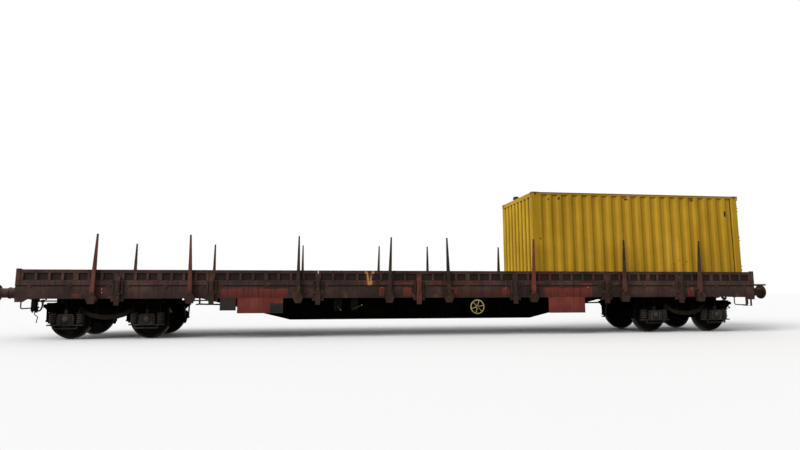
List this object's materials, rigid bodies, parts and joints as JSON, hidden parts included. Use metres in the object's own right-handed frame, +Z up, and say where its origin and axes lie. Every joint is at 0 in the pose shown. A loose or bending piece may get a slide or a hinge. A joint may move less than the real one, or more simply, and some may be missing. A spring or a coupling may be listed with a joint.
{
  "type": "bogie flat wagon with container",
  "caption": "Bogie flat wagon with low drop sides, swing-down stanchions and end boards, carrying a corrugated steel freight container with hinged doors.",
  "frame": {"origin": "centre of the wagon's length and width, at the lowest point of the wheel flanges", "axes": "+X along the wagon towards the container end, +Y across it away from the camera side, +Z up"},
  "size_m": [19.9, 2.976, 3.8778],
  "materials": {
    "board_paint": "red and grey painted plates",
    "bogie_steel": "black paint under brake dust",
    "container_paint": "faded yellow paint",
    "deck_wood": "weathered boards",
    "frame_steel": "black grimy paint",
    "handwheel_paint": "pale yellow worn paint",
    "hose_rubber": "black rubber",
    "plywood": "worn plywood",
    "side_steel": "weathered oxide brown paint over steel",
    "spring_steel": "dusty coil springs",
    "stanchion_steel": "dark brown worn paint with rust",
    "vent_dark": "dark",
    "wheel_steel": "rolled wheel, brown dust, bright tread"
  },
  "bodies": {
    "underframe": {"air_gear": "frame_steel", "board_hinges": "side_steel", "body_bolsters": "frame_steel", "brake_hoses": "hose_rubber", "buffer_heads": "side_steel", "buffer_housings": "side_steel", "centre_girders": "frame_steel", "container_base": "container_paint", "container_end_wall": "container_paint", "container_floor": "plywood", "container_posts": "container_paint", "container_rails": "container_paint", "container_roof": "container_paint", "container_walls": "container_paint", "corner_posts": "side_steel", "cross_bearers": "frame_steel", "deck_boards": "deck_wood", "door_hinges": "container_paint", "draw_hooks": "frame_steel", "drop_sides": "side_steel", "end_fittings": "frame_steel", "handbrake_wheels": "handwheel_paint", "headstocks": "side_steel", "notice_boards": "board_paint", "roof_vent": "vent_dark", "side_posts": "side_steel", "solebars": "side_steel", "stanchion_pockets": "side_steel"},
    "bogie_left": {"bogie_left_axleboxes": "bogie_steel", "bogie_left_brakes": "bogie_steel", "bogie_left_frame": "bogie_steel", "bogie_left_springs": "spring_steel"},
    "bogie_right": {"bogie_right_axleboxes": "bogie_steel", "bogie_right_brakes": "bogie_steel", "bogie_right_frame": "bogie_steel", "bogie_right_springs": "spring_steel"},
    "door_far_body": {"door_far": "container_paint"},
    "door_near_body": {"door_near": "container_paint"},
    "end_board_left_body": {"end_board_left": "side_steel"},
    "end_board_right_body": {"end_board_right": "side_steel"},
    "stanchion_far_1_body": {"stanchion_far_1": "stanchion_steel"},
    "stanchion_far_2_body": {"stanchion_far_2": "stanchion_steel"},
    "stanchion_far_3_body": {"stanchion_far_3": "stanchion_steel"},
    "stanchion_far_4_body": {"stanchion_far_4": "stanchion_steel"},
    "stanchion_far_5_body": {"stanchion_far_5": "stanchion_steel"},
    "stanchion_far_6_body": {"stanchion_far_6": "stanchion_steel"},
    "stanchion_far_7_body": {"stanchion_far_7": "stanchion_steel"},
    "stanchion_far_8_body": {"stanchion_far_8": "stanchion_steel"},
    "stanchion_near_1_body": {"stanchion_near_1": "stanchion_steel"},
    "stanchion_near_2_body": {"stanchion_near_2": "stanchion_steel"},
    "stanchion_near_3_body": {"stanchion_near_3": "stanchion_steel"},
    "stanchion_near_4_body": {"stanchion_near_4": "stanchion_steel"},
    "stanchion_near_5_body": {"stanchion_near_5": "stanchion_steel"},
    "stanchion_near_6_body": {"stanchion_near_6": "stanchion_steel"},
    "stanchion_near_7_body": {"stanchion_near_7": "stanchion_steel"},
    "stanchion_near_8_body": {"stanchion_near_8": "stanchion_steel"},
    "wheelset_1_body": {"wheelset_1": "wheel_steel"},
    "wheelset_2_body": {"wheelset_2": "wheel_steel"},
    "wheelset_3_body": {"wheelset_3": "wheel_steel"},
    "wheelset_4_body": {"wheelset_4": "wheel_steel"}
  },
  "joints": [
    {"name": "bogie_left_turn", "type": "hinge", "parent": "underframe", "child": "bogie_left", "pos_m": [-7.43, 0, 0.953], "axis": [0, 0, 1], "range_deg": [-6, 6]},
    {"name": "bogie_right_turn", "type": "hinge", "parent": "underframe", "child": "bogie_right", "pos_m": [7.43, 0, 0.953], "axis": [0, 0, 1], "range_deg": [-6, 6]},
    {"name": "wheelset_1_roll", "type": "hinge", "parent": "bogie_left", "child": "wheelset_1_body", "pos_m": [-8.33, 0, 0.488], "axis": [0, 1, 0], "continuous": true},
    {"name": "wheelset_2_roll", "type": "hinge", "parent": "bogie_left", "child": "wheelset_2_body", "pos_m": [-6.53, 0, 0.488], "axis": [0, 1, 0], "continuous": true},
    {"name": "wheelset_3_roll", "type": "hinge", "parent": "bogie_right", "child": "wheelset_3_body", "pos_m": [6.53, 0, 0.488], "axis": [0, 1, 0], "continuous": true},
    {"name": "wheelset_4_roll", "type": "hinge", "parent": "bogie_right", "child": "wheelset_4_body", "pos_m": [8.33, 0, 0.488], "axis": [0, 1, 0], "continuous": true},
    {"name": "end_board_left_fold", "type": "hinge", "parent": "underframe", "child": "end_board_left_body", "pos_m": [-9.348, 0, 1.239], "axis": [0, -1, 0], "range_deg": [0, 90]},
    {"name": "end_board_right_fold", "type": "hinge", "parent": "underframe", "child": "end_board_right_body", "pos_m": [9.348, 0, 1.239], "axis": [0, 1, 0], "range_deg": [-90, 0]},
    {"name": "door_near_swing", "type": "hinge", "parent": "underframe", "child": "door_near_body", "pos_m": [9.137, -1.15, 2.516], "axis": [0, 0, -1], "range_deg": [0, 120]},
    {"name": "door_far_swing", "type": "hinge", "parent": "underframe", "child": "door_far_body", "pos_m": [9.137, 1.15, 2.516], "axis": [0, 0, 1], "range_deg": [0, 120]},
    {"name": "stanchion_near_1_swing", "type": "hinge", "parent": "underframe", "child": "stanchion_near_1_body", "pos_m": [-7.657, -1.422, 1.058], "axis": [0, -1, 0], "range_deg": [0, 91.2]},
    {"name": "stanchion_near_2_swing", "type": "hinge", "parent": "underframe", "child": "stanchion_near_2_body", "pos_m": [-5.495, -1.422, 1.058], "axis": [0, -1, 0], "range_deg": [0, 88.2]},
    {"name": "stanchion_near_3_swing", "type": "hinge", "parent": "underframe", "child": "stanchion_near_3_body", "pos_m": [-2.985, -1.422, 1.058], "axis": [0, -1, 0], "range_deg": [0, 90]},
    {"name": "stanchion_near_4_swing", "type": "hinge", "parent": "underframe", "child": "stanchion_near_4_body", "pos_m": [-0.756, -1.422, 1.058], "axis": [0, -1, 0], "range_deg": [0, 92]},
    {"name": "stanchion_near_5_swing", "type": "hinge", "parent": "underframe", "child": "stanchion_near_5_body", "pos_m": [0.756, -1.422, 1.058], "axis": [0, 1, 0], "range_deg": [0, 91.5]},
    {"name": "stanchion_near_6_swing", "type": "hinge", "parent": "underframe", "child": "stanchion_near_6_body", "pos_m": [2.985, -1.422, 1.058], "axis": [0, 1, 0], "range_deg": [0, 88.2]},
    {"name": "stanchion_near_7_swing", "type": "hinge", "parent": "underframe", "child": "stanchion_near_7_body", "pos_m": [5.495, -1.422, 1.058], "axis": [0, 1, 0], "range_deg": [0, 88]},
    {"name": "stanchion_near_8_swing", "type": "hinge", "parent": "underframe", "child": "stanchion_near_8_body", "pos_m": [7.657, -1.422, 1.058], "axis": [0, 1, 0], "range_deg": [0, 87]},
    {"name": "stanchion_far_1_swing", "type": "hinge", "parent": "underframe", "child": "stanchion_far_1_body", "pos_m": [-7.657, 1.422, 1.058], "axis": [0, -1, 0], "range_deg": [0, 91.2]},
    {"name": "stanchion_far_2_swing", "type": "hinge", "parent": "underframe", "child": "stanchion_far_2_body", "pos_m": [-5.495, 1.422, 1.058], "axis": [0, -1, 0], "range_deg": [0, 90.4]},
    {"name": "stanchion_far_3_swing", "type": "hinge", "parent": "underframe", "child": "stanchion_far_3_body", "pos_m": [-2.985, 1.422, 1.058], "axis": [0, -1, 0], "range_deg": [0, 90]},
    {"name": "stanchion_far_4_swing", "type": "hinge", "parent": "underframe", "child": "stanchion_far_4_body", "pos_m": [-0.756, 1.422, 1.058], "axis": [0, -1, 0], "range_deg": [0, 91.2]},
    {"name": "stanchion_far_5_swing", "type": "hinge", "parent": "underframe", "child": "stanchion_far_5_body", "pos_m": [0.756, 1.422, 1.058], "axis": [0, 1, 0], "range_deg": [0, 90.5]},
    {"name": "stanchion_far_6_swing", "type": "hinge", "parent": "underframe", "child": "stanchion_far_6_body", "pos_m": [2.985, 1.422, 1.058], "axis": [0, 1, 0], "range_deg": [0, 90]},
    {"name": "stanchion_far_7_swing", "type": "hinge", "parent": "underframe", "child": "stanchion_far_7_body", "pos_m": [5.495, 1.422, 1.058], "axis": [0, 1, 0], "range_deg": [0, 90]},
    {"name": "stanchion_far_8_swing", "type": "hinge", "parent": "underframe", "child": "stanchion_far_8_body", "pos_m": [7.657, 1.422, 1.058], "axis": [0, 1, 0], "range_deg": [0, 90]}
  ]
}
